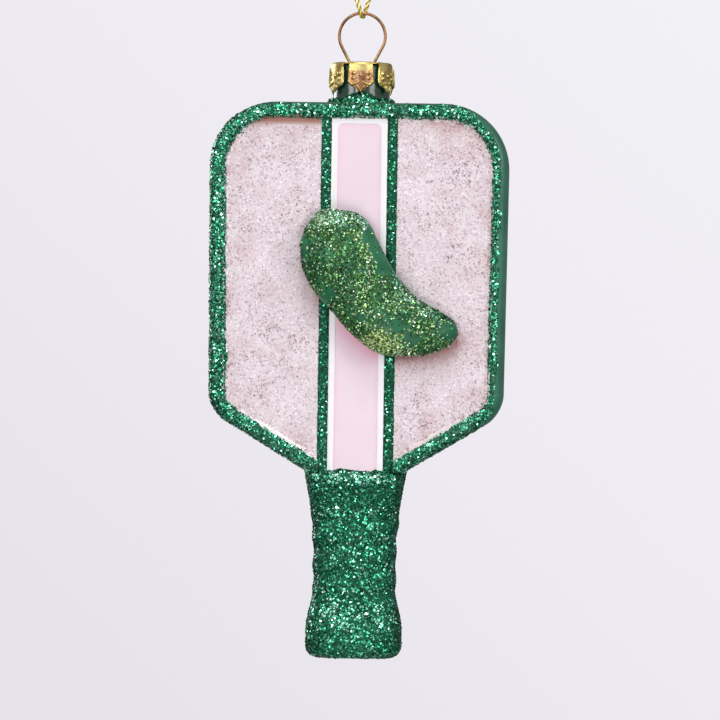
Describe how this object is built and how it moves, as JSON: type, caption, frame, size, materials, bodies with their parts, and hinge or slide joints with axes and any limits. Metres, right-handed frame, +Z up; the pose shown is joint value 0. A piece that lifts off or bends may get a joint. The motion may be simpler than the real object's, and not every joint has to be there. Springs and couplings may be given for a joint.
{
  "type": "pickleball paddle ornament",
  "caption": "Hanging glass ornament shaped as a pickleball paddle, with a glittered rim and grip, frosted panels, a pink stripe, an applied pickle, a leaf cap, a wire eye and a cord loop.",
  "frame": {"origin": "inside of the top of the cord loop, where a branch or a hook bears", "axes": "+Z up along the hanging axis, +X to the right seen from the front, and the front, with the pickle, faces -Y"},
  "size_m": [0.0596, 0.026, 0.1566],
  "materials": {
    "lacquered_glass": "blown glass, lacquered dark green on the edges and the neck and white under the panels",
    "green_glitter": "emerald flake glitter in clear glue",
    "frost": "fine sugar-glass frost over pale pink",
    "pink_enamel": "gloss",
    "white_enamel": "satin",
    "pickle_resin": "green gloss paint with scattered lime glitter",
    "glue": "clear set glue",
    "cap_brass": "stamped, bright",
    "wire_brass": "drawn, coppery",
    "gold_cord": "twisted metallic thread"
  },
  "bodies": {
    "cord": {"hanging_cord": "gold_cord", "cord_knot": "gold_cord"},
    "hanger": {"hanger_wire": "wire_brass"},
    "cap": {"cap": "cap_brass"},
    "paddle": {"glass_shell": "lacquered_glass", "front_rim_glitter": "green_glitter", "back_rim_glitter": "green_glitter", "neck_glitter": "green_glitter", "grip_glitter": "green_glitter", "front_left_line": "green_glitter", "front_right_line": "green_glitter", "back_left_line": "green_glitter", "back_right_line": "green_glitter", "front_left_frost": "frost", "front_right_frost": "frost", "back_left_frost": "frost", "back_right_frost": "frost", "front_stripe_enamel": "pink_enamel", "back_stripe_enamel": "pink_enamel", "front_stripe_border": "white_enamel", "back_stripe_border": "white_enamel", "pickle": "pickle_resin", "pickle_glue": "glue"}
  },
  "joints": [
    {"name": "ornament_swing", "type": "hinge", "parent": "cord", "child": "hanger", "pos_m": [0, 0, -0.022], "axis": [1, 0, 0], "range_deg": [-60, 60]},
    {"name": "wire_pull", "type": "slide", "parent": "hanger", "child": "cap", "axis": [0, 0, -1], "range_m": [0, 0.01]},
    {"name": "cap_swivel", "type": "hinge", "parent": "cap", "child": "paddle", "pos_m": [0, 0, -0.0322], "axis": [0, 0, 1], "continuous": true}
  ]
}
